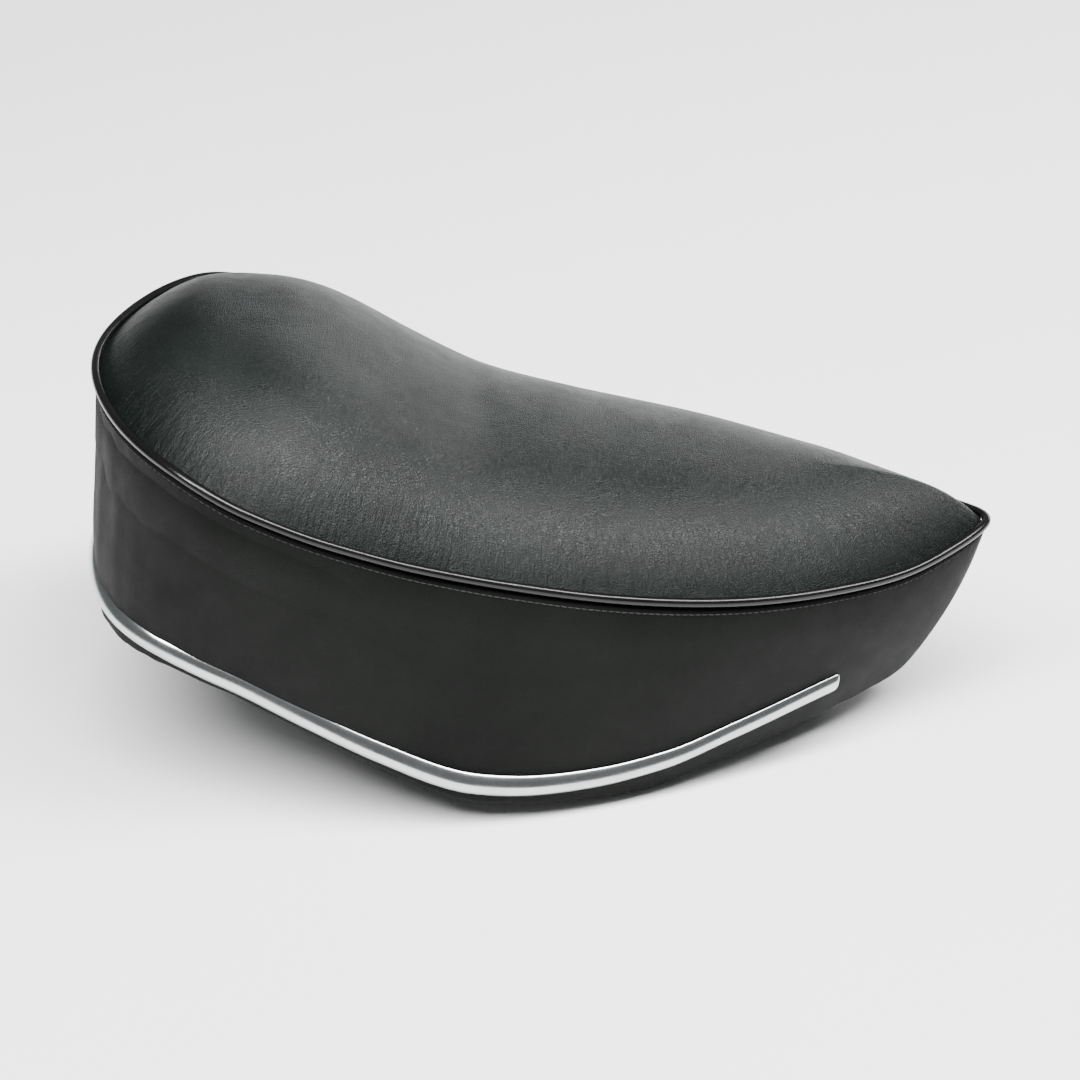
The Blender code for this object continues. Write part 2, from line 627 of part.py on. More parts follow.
for stale in list(bpy.data.objects):
    bpy.data.objects.remove(stale, do_unlink=True)
PARTS = bpy.data.collections.new("moped_saddle")
CUTTERS = bpy.data.collections.new("moped_saddle_cutters")
for collection in (PARTS, CUTTERS):
    bpy.context.scene.collection.children.link(collection)
CUTTER = material("cutter", (0.5, 0.5, 0.5), 0.5)
build()
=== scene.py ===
"""Looks of the moped single saddle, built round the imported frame.

The covers, welt, stitching, moulding, pan and running gear are modelled here at full detail, in the
part's own millimetres: length along X with the nose at +X, and Z = 0 on the vehicle's seat deck.
"""

import math

import bmesh
import bpy
import numpy as np
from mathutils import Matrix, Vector, bvhtree, kdtree, noise


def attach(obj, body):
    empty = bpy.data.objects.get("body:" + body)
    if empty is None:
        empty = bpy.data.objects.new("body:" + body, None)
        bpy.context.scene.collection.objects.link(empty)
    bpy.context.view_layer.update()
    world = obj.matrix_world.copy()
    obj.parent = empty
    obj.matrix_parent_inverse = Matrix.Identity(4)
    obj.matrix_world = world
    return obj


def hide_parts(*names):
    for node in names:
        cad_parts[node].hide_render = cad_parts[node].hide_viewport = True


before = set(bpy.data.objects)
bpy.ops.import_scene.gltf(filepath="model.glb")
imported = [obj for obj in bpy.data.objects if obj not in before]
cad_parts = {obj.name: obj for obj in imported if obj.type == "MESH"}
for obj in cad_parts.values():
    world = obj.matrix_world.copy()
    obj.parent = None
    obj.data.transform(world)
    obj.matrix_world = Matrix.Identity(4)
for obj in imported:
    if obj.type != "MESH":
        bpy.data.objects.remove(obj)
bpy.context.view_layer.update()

# ---- overall shape: the part's driving curves ------------------------------------------------
MM = 0.001
X_CENTRE = 216.0
SEAM_X0, SEAM_LENGTH = 0.0, 440.0
SEAM_HARMONICS = (109.2, 25.5, 5.2, 3.4, -4.5, -1.6, -0.8)
SEAM_HEIGHT = ((0, 195), (40, 189.5), (80, 174), (120, 156), (160, 139.5), (200, 127), (250, 115.5),
               (310, 106.5), (360, 101.5), (400, 98.2), (425, 100.4), (440, 102.7))
EDGE_X0, EDGE_LENGTH = -6.0, 411.0
EDGE_HARMONICS = (110.4, 22.3, -1.8, 5.4, 3.5, 1.8)
EDGE_HEIGHT = ((-6, 76), (25, 73), (64, 63), (103, 46.5), (138, 30.5), (182, 12.5), (228, 5.5),
               (250, 3.5), (272, 3), (304, 7.5), (348, 14.5), (405, 18.5))
CROWN_HEIGHT = ((0, 33), (60, 40.5), (110, 49), (150, 43), (190, 36.5), (230, 38), (290, 38), (350, 35),
                (440, 37))
CROWN_POWER = 3.0           # how square the dome's shoulders are
SPINE = 0.6                 # share of the length taken by the dome's ridge
SKIRT_BULGE = ((-6, 1.2), (60, 3), (200, 4), (440, 5))
PAN_HEIGHT = ((-6, 105), (60, 94), (120, 73), (180, 56), (250, 46), (320, 45), (405, 45))
PANEL_DROP = 4.0            # recess in the middle of the pan
COVER = 1.4                 # vinyl thickness
SLACK = 1.1                 # air between the cover and what it is stretched over
STEEL = 1.5                 # pan sheet
GAP = 0.35                  # air between pieces that touch
WELT_R = 2.4
WELT_INSET = 2.9            # where the top panel starts, measured in from the seam
SEAM_DEPTH = 3.2            # how far the panel and the foam reach down beside the welt
TRIM_HALF, TRIM_PROUD, TRIM_SHEET, TRIM_GAP, TRIM_END_X = 6.1, 4.6, 0.9, 0.6, 351.0
TRIM_BAND = ((-6, 9), (60, 4), (130, 4.4), (200, 5.5), (250, 9.6), (300, 16), (350, 20.3), (405, 23.5))
HEM_HEIGHT = 4.8            # hem turned up inside the pan's rim

# ---- fixings ---------------------------------------------------------------------------------
STUD_X = (58.0, 168.0, 300.0)
STUD_R, M6_R, M6_PITCH, BORE_PLAY = 2.0, 3.0, 1.0, 0.05
M6_NUT, STUD_NUT = 5.0, 3.6                 # half widths across flats
STUD_SEAT = COVER + SLACK + STEEL + 1.2     # depth of the stud nuts behind the skirt
BRIDGE_SHEET, LEAF_WEB = 2.0, 2.5
BRIDGE_X, BUFFER_Y, BUFFER_TOP = 145.0, 58.0, 22.0
LEAF_X, BOLT_X = 350.0, (340.0, 358.0)
PIN_X, PIN_Z, SPLIT_PIN_Y = 384.0, 17.0, 14.2

# ---- fineness of the visible meshes ----------------------------------------------------------
RING = 1080                 # points round the covers
DOME_ROWS = 96
DOME_LEVELS = (1.0, 0.965, 0.9, 0.8, 0.66, 0.48, 0.25, 0.0)     # coarse rings, seam to ridge
SKIRT_ROWS = 64
STITCH_PITCH, STITCH_DROP = 3.3, 5.9        # along the seam, and below it
STITCH_HALF, STITCH_OUT = 0.36, 0.36        # half a stitch's share of the pitch; how far it stands out
THREAD_R = 0.34

# ---- filling of the top panel, by cloth simulation -------------------------------------------
STUFFING_START = 2.2        # the simulated cover starts this much lower, and swells
STUFFING_CAP = 2.5          # and may end this far from the plain shape
STUFFING_FLOOR = 9.0        # depth of the simulated bag under the seam
STUFFING_VOXEL = 5.0
STUFFING_PRESSURE = 4.0
STUFFING_FRAMES = 20
STUFFING_NEAR, STUFFING_REACH = 24, 9.0     # simulated points that move a point, and how far off
STUFFING_FADE = 12.0        # distance from the seam at which the filling acts in full
RELAX_START, RELAX_FADE = 6.0, 14.0         # the same for the smoothing that follows
RELAX_ROUNDS, RELAX_FACTOR = 260, 0.5


# ---- curves and surfaces ---------------------------------------------------------------------
def spline(stations, x):
    """Smooth monotone curve through (position, value) stations."""
    px = np.array([s[0] for s in stations], float)
    py = np.array([s[1] for s in stations], float)
    h, d = np.diff(px), np.diff(py) / np.diff(px)
    mean = 2 * d[:-1] * d[1:] / np.where(d[:-1] * d[1:] > 0, d[:-1] + d[1:], 1)
    m = np.concatenate([[d[0]], np.where(d[:-1] * d[1:] > 0, mean, 0), [d[-1]]])
    x = np.clip(np.asarray(x, float), px[0], px[-1])
    i = np.clip(np.searchsorted(px, x, side="right") - 1, 0, len(h) - 1)
    t = (x - px[i]) / h[i]
    return ((1 + 2 * t) * (1 - t) ** 2 * py[i] + t * (1 - t) ** 2 * h[i] * m[i]
            + t * t * (3 - 2 * t) * py[i + 1] + t * t * (t - 1) * h[i] * m[i + 1])


def plan_loop(x0, length, harmonics, u):
    """Point of a closed plan outline: u = 0 is the rear tip, pi the nose, near side first."""
    half = sum(a * np.sin((k + 1) * u) for k, a in enumerate(harmonics))
    return np.stack([x0 + length * (1 - np.cos(u)) / 2, -half], -1)


def seam_plan(u):
    return plan_loop(SEAM_X0, SEAM_LENGTH, SEAM_HARMONICS, u)


def edge_plan(u):
    return plan_loop(EDGE_X0, EDGE_LENGTH, EDGE_HARMONICS, u)


def inward(plan, u):
    """Unit normals of a plan outline, pointing to its inside."""
    e = 1e-3
    t = plan(u + e) - plan(u - e)
    t /= np.linalg.norm(t, axis=1)[:, None]
    return np.stack([-t[:, 1], t[:, 0]], -1)


def ring(n=RING):
    return np.linspace(0, 2 * math.pi, n, endpoint=False)


def smoothstep(x):
    x = np.clip(x, 0, 1)
    return x * x * (3 - 2 * x)


def edge_z(u):
    return spline(EDGE_HEIGHT, edge_plan(u)[:, 0])


def seam_z(u):
    return spline(SEAM_HEIGHT, seam_plan(u)[:, 0])


def level(u, height):
    """Skirt parameter at a height above the lower edge."""
    return height / (seam_z(u) - edge_z(u))


def skirt(u, s, inset):
    """Skirt surface: s = 0 at the lower edge, 1 at the seam; inset is measured into the saddle."""
    e, t = edge_plan(u), seam_plan(u)
    s = np.broadcast_to(np.asarray(s, float), u.shape)
    n = inward(edge_plan, u) * (1 - s)[:, None] + inward(seam_plan, u) * s[:, None]
    n /= np.linalg.norm(n, axis=1)[:, None]
    out = spline(SKIRT_BULGE, e[:, 0]) * 4 * s * (1 - s)
    p = e * (1 - s)[:, None] + t * s[:, None] + n * (inset - out)[:, None]
    return np.column_stack([p, edge_z(u) * (1 - s) + seam_z(u) * s])


def seam_loop(u, inset, dz):
    """The seam's outline moved in by inset, at a height above the seam."""
    return np.column_stack([seam_plan(u) + inward(seam_plan, u) * inset, seam_z(u) + dz])


def dome_row(base, t, height):
    """One ring of a dome that shrinks from a base outline to its ridge line; height(x, t) is Z."""
    mid = 0.5 * (base[:, 0].max() + base[:, 0].min())
    x = mid + (base[:, 0] - mid) * (SPINE + (1 - SPINE) * t)
    return np.column_stack([x, base[:, 1] * t, height(x, t)])


def crown(x, t, drop):
    return spline(SEAM_HEIGHT, x) + 0.3 + (spline(CROWN_HEIGHT, x) - drop) * (1 - t ** CROWN_POWER)


def pan_rise(u):
    """Height of the pan's flat above the lower edge, round the saddle."""
    return spline(PAN_HEIGHT, edge_plan(u)[:, 0]) - edge_z(u)


# ---- mesh making -----------------------------------------------------------------------------
def mesh_piece(name, verts, faces, band=None):
    """Closed mesh from part millimetres; band holds (seam x, seam y, distance from seam) per point."""
    me = bpy.data.meshes.new(name)
    points = (np.asarray(verts, float) - (X_CENTRE, 0, 0)) * MM
    me.from_pydata(points, [], faces)
    if band is not None:
        attribute = me.attributes.new("band", "FLOAT_VECTOR", "POINT")
        attribute.data.foreach_set("vector", (np.asarray(band) * MM).astype(np.float32).ravel())
    bm = bmesh.new()
    bm.from_mesh(me)
    bmesh.ops.remove_doubles(bm, verts=bm.verts, dist=1e-6)
    bmesh.ops.dissolve_degenerate(bm, edges=bm.edges, dist=1e-7)
    bmesh.ops.recalc_face_normals(bm, faces=bm.faces)
    bm.to_mesh(me)
    bm.free()
    me.shade_smooth()
    ob = bpy.data.objects.new(name, me)
    bpy.context.scene.collection.objects.link(ob)
    return ob


def grid_piece(name, rows, closed=True, caps=False, band=None):
    """Skin through rings of equal point counts.

    closed joins the last ring to the first, and caps fills the ends.
    """
    rows = np.asarray(rows, float)
    m, n = rows.shape[:2]
    index = np.arange(m * n).reshape(m, n)
    lower = index if closed else index[:-1]
    upper = np.roll(index, -1, 0) if closed else index[1:]
    quads = np.stack([lower, np.roll(lower, -1, 1), np.roll(upper, -1, 1), upper], -1)
    faces = quads.reshape(-1, 4).tolist()
    if caps:
        faces.append(index[0][::-1].tolist())
        faces.append(index[-1].tolist())
    return mesh_piece(name, rows.reshape(-1, 3), faces, band)


def seam_band(u, distances):
    """Band values for rows at given distances from the seam."""
    p = seam_plan(u)
    return np.concatenate([np.column_stack([p, np.broadcast_to(d, len(u))]) for d in distances])


def displace(ob, amount):
    """Moves each vertex along its normal by amount(points in mm, band in mm), in millimetres."""
    me = ob.data
    count = len(me.vertices)
    co, normal, band = (np.zeros(count * 3, np.float32) for _ in range(3))
    me.vertices.foreach_get("co", co)
    me.vertices.foreach_get("normal", normal)
    if "band" in me.attributes:
        me.attributes["band"].data.foreach_get("vector", band)
    co, normal, band = co.reshape(-1, 3), normal.reshape(-1, 3), band.reshape(-1, 3)
    d = amount(co / MM + (X_CENTRE, 0, 0), band / MM)
    me.vertices.foreach_set("co", (co + normal * d[:, None] * MM).astype(np.float32).ravel())
    me.update()


def wander(points, size):
    """Smooth noise in -1..1 at points in millimetres, with features of about the given size."""
    return np.array([noise.noise(Vector(p)) for p in points * (1 / size)])


def turned(name, profile, origin, axis, segments=64, closed=True):
    """A profile of (radius, distance along the axis) turned about an axis through origin."""
    axis = np.array(axis, float)
    side = np.cross(axis, (0, 0, 1) if abs(axis[2]) < 0.9 else (1, 0, 0))
    side /= np.linalg.norm(side)
    up = np.cross(axis, side)
    a = ring(segments)
    spokes = np.cos(a)[:, None] * side + np.sin(a)[:, None] * up
    rows = [np.asarray(origin) + axis * d + spokes * np.broadcast_to(r, segments)[:, None]
            for r, d in profile]
    return grid_piece(name, rows, closed=closed, caps=not closed)


# ---- materials -------------------------------------------------------------------------------
EDGE_WEAR, NO_WEAR = 0.56, 2.0      # edge sharpness that chips paint; no edge reaches NO_WEAR


class Look:
    """A Principled material with a few helpers for its procedural nodes."""

    def __init__(self, name, roughness, metallic=0.0, specular=0.5):
        self.material = bpy.data.materials.new(name)
        self.material.use_nodes = True
        self.tree = self.material.node_tree
        self.shader = self.tree.nodes["Principled BSDF"]
        self.shader.inputs["Roughness"].default_value = roughness
        self.shader.inputs["Metallic"].default_value = metallic
        self.shader.inputs["Specular IOR Level"].default_value = specular
        self.space = self.node("ShaderNodeTexCoord").outputs["Object"]
        self.height = None

    def node(self, kind, **values):
        made = self.tree.nodes.new(kind)
        for key, value in values.items():
            setattr(made, key, value)
        return made

    def feed(self, made, **inputs):
        for key, value in inputs.items():
            socket = made.inputs[key.replace("_", " ")]
            if isinstance(value, bpy.types.NodeSocket):
                self.tree.links.new(value, socket)
            else:
                socket.default_value = value
        return made

    def stretched(self, source, scale):
        """Coordinates scaled differently along each direction."""
        return self.feed(self.node("ShaderNodeMapping"), Vector=source, Scale=scale).outputs[0]

    def noise(self, scale, detail=2.0, roughness=0.5, vector=None, distortion=0.0):
        made = self.node("ShaderNodeTexNoise")
        self.feed(made, Vector=vector or self.space, Scale=scale, Detail=detail, Roughness=roughness,
                  Distortion=distortion)
        return made.outputs[0]

    def cells(self, scale, feature="DISTANCE_TO_EDGE"):
        made = self.node("ShaderNodeTexVoronoi", feature=feature)
        return self.feed(made, Vector=self.space, Scale=scale).outputs["Distance"]

    def band(self):
        """The seam coordinates stored on the covers."""
        return self.node("ShaderNodeAttribute", attribute_name="band").outputs["Vector"]

    def spread(self, value, low, high, to_low=0.0, to_high=1.0):
        """Rescales a value, clamped."""
        made = self.node("ShaderNodeMapRange")
        self.tree.links.new(value, made.inputs[0])
        for k, v in enumerate((low, high, to_low, to_high), 1):
            made.inputs[k].default_value = v
        return made.outputs[0]

    def maths(self, operation, a, b):
        made = self.node("ShaderNodeMath", operation=operation)
        for k, v in enumerate((a, b)):
            if isinstance(v, bpy.types.NodeSocket):
                self.tree.links.new(v, made.inputs[k])
            else:
                made.inputs[k].default_value = v
        return made.outputs[0]

    def blend(self, factor, a, b):
        """Colour between a and b."""
        made = self.node("ShaderNodeMix", data_type="RGBA")
        self.tree.links.new(factor, made.inputs["Factor"])
        for socket, v in ((made.inputs[6], a), (made.inputs[7], b)):
            if isinstance(v, bpy.types.NodeSocket):
                self.tree.links.new(v, socket)
            else:
                socket.default_value = (*v, 1)
        return made.outputs[2]

    def colour(self, value):
        self.tree.links.new(value, self.shader.inputs["Base Color"])

    def roughness(self, value):
        self.tree.links.new(value, self.shader.inputs["Roughness"])

    def metallic(self, value):
        self.tree.links.new(value, self.shader.inputs["Metallic"])

    def bump(self, value, depth_mm, strength=1.0):
        """Adds relief of a depth in millimetres on top of what is there."""
        made = self.node("ShaderNodeBump")
        self.feed(made, Height=value, Distance=depth_mm * MM, Strength=strength)
        if self.height is not None:
            self.tree.links.new(self.height, made.inputs["Normal"])
        self.height = made.outputs[0]
        self.tree.links.new(self.height, self.shader.inputs["Normal"])


def vinyl(name, dark, light, roughness, grain, wrinkle, specular):
    """Black leather-grained vinyl; with a wrinkle depth, fine puckers run away from the seam."""
    look = Look(name, roughness, specular=specular)
    tone = look.noise(14.0, 4.0, 0.6)
    look.colour(look.blend(look.spread(tone, 0.35, 0.65), dark, light))
    scuff = look.noise(60.0, 5.0, 0.65)
    look.roughness(look.spread(scuff, 0.3, 0.7, roughness - 0.05, roughness + 0.07))
    pebble = look.spread(look.cells(850.0), 0.0, 0.25)
    look.bump(pebble, grain, 0.8)
    look.bump(look.noise(2300.0, 2.0), grain * 0.4, 0.7)
    if wrinkle:
        band = look.band()
        split = look.feed(look.node("ShaderNodeSeparateXYZ"), Vector=band)
        near = look.spread(split.outputs[2], 0.004, 0.038, 1.0, 0.0)
        lines = look.stretched(band, (1.0, 1.0, 0.3))
        pucker = look.noise(430.0, 3.0, 0.6, lines, 0.5)
        look.bump(look.maths("MULTIPLY", pucker, near), wrinkle, 1.0)
        dull = look.spread(split.outputs[2], 0.003, 0.024, 0.5 * specular, specular)
        look.tree.links.new(dull, look.shader.inputs["Specular IOR Level"])
    look.bump(look.noise(90.0, 4.0, 0.6, distortion=1.2), 0.25, 0.5)
    return look.material


def bright_metal(name, tint, roughness, scratch):
    """Polished metal with fine streaks, haze and small scratches."""
    look = Look(name, roughness, metallic=1.0)
    haze = look.noise(35.0, 5.0, 0.6)
    look.colour(look.blend(look.spread(haze, 0.3, 0.7), tint, tuple(c * 0.86 for c in tint)))
    fine = look.noise(900.0, 2.0, 0.5)
    rough = look.maths("ADD", look.spread(haze, 0.3, 0.8, 0.0, 0.08),
                       look.spread(fine, 0.4, 0.7, 0.0, 0.05))
    look.roughness(look.maths("ADD", rough, roughness))
    line = look.stretched(look.space, (60.0, 1400.0, 1400.0))
    look.bump(look.noise(1.0, 3.0, 0.6, line), scratch, 0.5)
    return look.material


def painted_steel(name, paint, wear_at=EDGE_WEAR):
    """Black stove enamel over steel, with a film of dust.

    wear_at is how sharp an edge is where its paint has chipped off.
    """
    look = Look(name, 0.4)
    pointed = look.node("ShaderNodeNewGeometry").outputs["Pointiness"]
    mottle = look.noise(180.0, 5.0, 0.7)
    edge = look.maths("ADD", pointed, look.spread(mottle, 0.3, 0.7, -0.05, 0.05))
    worn = look.spread(edge, wear_at, wear_at + 0.02)
    dust = look.spread(look.noise(22.0, 6.0, 0.65), 0.42, 0.75)
    coat = look.blend(dust, paint, tuple(c * 1.8 + 0.01 for c in paint))
    look.colour(look.blend(worn, coat, (0.32, 0.30, 0.28)))
    look.metallic(worn)
    look.roughness(look.spread(look.noise(70.0, 4.0), 0.3, 0.7, 0.34, 0.55))
    look.bump(look.noise(650.0, 2.0), 0.05, 0.6)
    look.bump(mottle, 0.08, 0.4)
    return look.material


def zinc_plate(name, tint=(0.62, 0.6, 0.52)):
    """Zinc plating: slightly yellow, blotchy, dulled in patches."""
    look = Look(name, 0.35, metallic=1.0)
    blotch = look.noise(160.0, 5.0, 0.65)
    dull = tuple(c * f for c, f in zip(tint, (0.8, 0.74, 0.6)))
    look.colour(look.blend(look.spread(blotch, 0.35, 0.65), tint, dull))
    look.roughness(look.spread(look.noise(420.0, 3.0), 0.3, 0.7, 0.26, 0.5))
    look.bump(look.noise(1500.0, 2.0), 0.03, 0.6)
    return look.material


def moulded(name, colour, roughness, depth):
    """Moulded rubber or plastic with a fine mottled skin."""
    look = Look(name, roughness)
    patch = look.noise(55.0, 4.0, 0.6)
    pale = tuple(min(1, c * 1.35 + 0.006) for c in colour)
    look.colour(look.blend(look.spread(patch, 0.35, 0.7), colour, pale))
    look.roughness(look.spread(look.noise(300.0, 3.0), 0.3, 0.7, roughness - 0.08, roughness + 0.1))
    look.bump(look.noise(1100.0, 3.0), depth, 0.7)
    return look.material


def foam_look(name):
    look = Look(name, 0.95, specular=0.2)
    pores = look.spread(look.cells(600.0, "F1"), 0.1, 0.6)
    look.colour(look.blend(pores, (0.55, 0.44, 0.2), (0.78, 0.68, 0.4)))
    look.roughness(look.spread(pores, 0.0, 1.0, 0.98, 0.88))
    look.bump(pores, 0.4, 0.8)
    return look.material


def dress(ob, material, body="saddle", stands_for=()):
    """Gives a piece its material and its body, and hides the CAD nodes it stands for."""
    ob.data.materials.clear()
    ob.data.materials.append(material)
    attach(ob, body)
    if stands_for:
        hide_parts(*stands_for)
    return ob


# ---- covers ----------------------------------------------------------------------------------
def dome_rows(inset, levels, drop):
    """Rings of the dome between the ridge and its outline, which lies at an inset from the seam."""
    base = seam_loop(ring(), inset, 0)
    return [dome_row(base, t, lambda x, t: crown(x, t, drop)) for t in levels]


def stuffing(skin):
    """Cloth simulation of the cover blown up by its filling, on a coarse copy pinned at the seam.

    Returns a tree of the copy's points and how far the filling lifts each one off the plain skin.
    """
    u = ring(240)
    low = seam_loop(u, WELT_INSET, -STUFFING_FLOOR)
    base = seam_loop(u, WELT_INSET, 0)
    rows = [dome_row(low, t, lambda x, t: spline(SEAM_HEIGHT, x) - STUFFING_FLOOR)
            for t in (0.0, 0.6, 1.0)]
    rows += [dome_row(base, t, lambda x, t: crown(x, t, STUFFING_START)) for t in np.linspace(1, 0, 25)]
    ob = grid_piece("stuffing", rows, closed=False)
    remesh = ob.modifiers.new("voxels", "REMESH")
    remesh.mode = "VOXEL"
    remesh.voxel_size = STUFFING_VOXEL * MM
    graph = bpy.context.evaluated_depsgraph_get()
    graph.update()
    coarse = bpy.data.meshes.new_from_object(ob.evaluated_get(graph))
    ob.modifiers.clear()
    ob.data = coarse
    held = [v.index for v in coarse.vertices
            if v.co.z / MM < spline(SEAM_HEIGHT, v.co.x / MM + X_CENTRE) + 1.5]
    ob.vertex_groups.new(name="seam").add(held, 1.0, "REPLACE")
    cloth = ob.modifiers.new("cloth", "CLOTH")
    cloth.settings.vertex_group_mass = "seam"
    cloth.settings.use_pressure = True
    cloth.settings.uniform_pressure_force = STUFFING_PRESSURE
    cloth.settings.effector_weights.gravity = 0.0
    for step in range(1, STUFFING_FRAMES + 1):
        bpy.context.scene.frame_set(step)
    blown = bpy.data.meshes.new_from_object(ob.evaluated_get(bpy.context.evaluated_depsgraph_get()))
    bpy.context.scene.frame_set(1)
    places = [v.co.copy() for v in blown.vertices]
    bpy.data.objects.remove(ob)
    plain = bvhtree.BVHTree.FromObject(skin, bpy.context.evaluated_depsgraph_get())
    lifts = []
    for place in places:
        spot, normal, _, _ = plain.find_nearest(place)
        lifts.append(normal * (place - spot).dot(normal))
    tree = kdtree.KDTree(len(places))
    for k, place in enumerate(places):
        tree.insert(place, k)
    tree.balance()
    return tree, lifts


def stuff(ob, skin):
    """Moves the panel's points to where the filling pushes them, within a cap."""
    tree, lifts = stuffing(skin)
    band = ob.data.attributes["band"].data
    for v in ob.data.vertices:
        near = tree.find_n(v.co, STUFFING_NEAR)
        weights = [math.exp(-(distance / (STUFFING_REACH * MM)) ** 2) + 1e-6 for _, _, distance in near]
        move = sum((lifts[k] * w for (_, k, _), w in zip(near, weights)), Vector()) / sum(weights)
        if move.length > STUFFING_CAP * MM:
            move *= STUFFING_CAP * MM / move.length
        v.co += move * float(smoothstep(band[v.index].vector.z / MM / STUFFING_FADE))
    ob.data.update()


def relax(ob):
    """Evens out the panel away from its seam, so that the dome has no keel at its ends."""
    band = ob.data.attributes["band"].data
    free = ob.vertex_groups.new(name="free")
    for v in ob.data.vertices:
        share = smoothstep((band[v.index].vector.z / MM - RELAX_START) / RELAX_FADE)
        free.add([v.index], float(share), "REPLACE")
    even = ob.modifiers.new("relax", "SMOOTH")
    even.factor, even.iterations, even.vertex_group = RELAX_FACTOR, RELAX_ROUNDS, "free"
    graph = bpy.context.evaluated_depsgraph_get()
    graph.update()
    ob.data = bpy.data.meshes.new_from_object(ob.evaluated_get(graph))
    ob.modifiers.clear()
    ob.vertex_groups.clear()


def top_panel():
    """Domed vinyl panel with its edge turned down beside the welt, one thickness of vinyl."""
    u = ring()
    outer = dome_rows(WELT_INSET, 1 - (np.arange(DOME_ROWS + 1) / DOME_ROWS) ** 1.4, 0)[::-1]
    edge = ((2.6, -0.1), (2.5, -0.8), (2.45, -1.9), (2.3, -SEAM_DEPTH), (2.5 + COVER, -SEAM_DEPTH))
    turned_down = [seam_loop(u, inset, dz) for inset, dz in edge]
    inner = dome_rows(WELT_INSET + COVER, DOME_LEVELS, COVER)
    rows = outer + turned_down + inner
    away = [np.linalg.norm(row[:, :2] - outer[-1][:, :2], axis=1) for row in rows]
    ob = grid_piece("top_panel", rows, closed=False, band=seam_band(u, away))
    skin = grid_piece("plain_skin", outer, closed=False)
    stuff(ob, skin)
    bpy.data.objects.remove(skin)
    relax(ob)

    def relief(points, band):
        """Puckers that die away from the seam, and a broad unevenness of the foam under the vinyl."""
        near = np.exp(-band[:, 2] / 15.0) * smoothstep(band[:, 2] / 3.0)
        lines = band * (1, 1, 0.25) + wander(points, 18.0)[:, None] * (1.5, 1.5, 0)
        pucker = wander(lines, 3.6) * 0.2 + wander(lines, 9.0) * 0.2
        broad = wander(points, 60.0) * 0.35
        return pucker * near + broad * smoothstep(band[:, 2] / 14.0)

    displace(ob, relief)
    return ob


def side_skirt():
    """Skirt panel: folded top edge under the welt, wall, lower edge and the hem turned up inside."""
    u = ring()
    rise = seam_z(u) - edge_z(u)

    def row(drop, inset):
        return skirt(u, 1 - drop / rise, inset)

    folded = ((3.0, 2.8), (3.3, 1.8), (3.6, 0.9), (4.0, 0.25), (4.5, -0.1), (5.2, -0.28), (6.2, -0.32),
              (7.6, -0.27), (9.5, -0.2), (12.0, -0.1), (15.0, 0.0))
    rows = [row(d, i) for d, i in folded]
    away = [d for d, _ in folded]
    for k in range(1, SKIRT_ROWS + 1):
        s = (1 - 15.0 / rise) * (1 - k / SKIRT_ROWS) + level(u, 2.0) * k / SKIRT_ROWS
        rows.append(skirt(u, s, 0.0))
        away.append(rise * (1 - s))
    hem = 2 * COVER + SLACK + STEEL + 0.6
    for height, inset in ((1.1, 0.25), (0.45, 0.7), (0.08, 1.4), (0.0, 2.4), (0.0, hem - 2.4),
                          (0.08, hem - 1.4), (0.45, hem - 0.7), (1.1, hem - 0.25), (2.0, hem),
                          (3.4, hem), (HEM_HEIGHT - 0.4, hem), (HEM_HEIGHT, hem - 0.4),
                          (HEM_HEIGHT, hem - COVER + 0.3), (HEM_HEIGHT - 0.4, hem - COVER),
                          (COVER, hem - COVER), (COVER, COVER), (6.0, COVER), (14.0, COVER)):
        rows.append(skirt(u, level(u, height), inset))
        away.append(rise - height)
    for share in (0.3, 0.5, 0.7, 0.9):
        rows.append(skirt(u, level(u, 14.0) + (1 - level(u, 14.0) - 7.0 / rise) * share, COVER))
        away.append(rise * (1 - share))
    rows.append(row(4.4, COVER + 1.2))
    away.append(4.4)
    ob = grid_piece("side_skirt", rows, band=seam_band(u, away))

    def relief(points, band):
        """Broad unevenness, the loose vinyl round the rear, puckers, the hem and the nose seam."""
        broad = wander(points, 70.0) * 0.45 + wander(points, 26.0) * 0.12
        rear = np.exp(-((points[:, 0] - 8) / 38.0) ** 2)
        lines = band * (1, 1, 0.12)
        sag = wander(lines, 14.0) * 0.6 * rear
        tucked = smoothstep((190 - points[:, 0]) / 110.0)
        sag += tucked * (1.6 * np.exp(-((band[:, 2] - 85) / 24.0) ** 2)
                         - 2.4 * np.exp(-((band[:, 2] - 24) / 13.0) ** 2))
        around = np.arccos(np.clip(1 - 2 * (band[:, 0] - SEAM_X0) / SEAM_LENGTH, -1, 1))
        height = seam_z(around) - edge_z(around) - band[:, 2]
        low = np.exp(-np.clip(height, 0, None) / 4.0)
        hem = (wander(points, 11.0) * 0.5 + wander(points, 30.0) * 0.5) * low
        nose = smoothstep((points[:, 0] - 380) / 10.0) * smoothstep((band[:, 2] - 5) / 3.0)
        closing = nose * (0.35 * np.exp(-((abs(points[:, 1]) - 2.4) / 1.3) ** 2)
                          - 0.9 * np.exp(-(points[:, 1] / 0.8) ** 2))
        stitched = wander(band * (1, 1, 0.3), 3.6) * 0.12 * np.exp(-((band[:, 2] - 7) / 4.0) ** 2)
        fade = smoothstep((band[:, 2] - 4.0) / 6.0)
        return (broad + sag) * fade + stitched + hem + closing

    displace(ob, relief)
    return ob


def welt():
    """Piping: a cord in glossy vinyl along the seam."""
    u = ring(900)
    n = inward(seam_plan, u)
    p = seam_plan(u)
    rows = [np.column_stack([p + n * WELT_R * math.cos(a), seam_z(u) + WELT_R * math.sin(a)])
            for a in ring(32)]
    ob = grid_piece("piping_welt", rows)
    displace(ob, lambda points, band: wander(points, 30.0) * 0.12)
    return ob


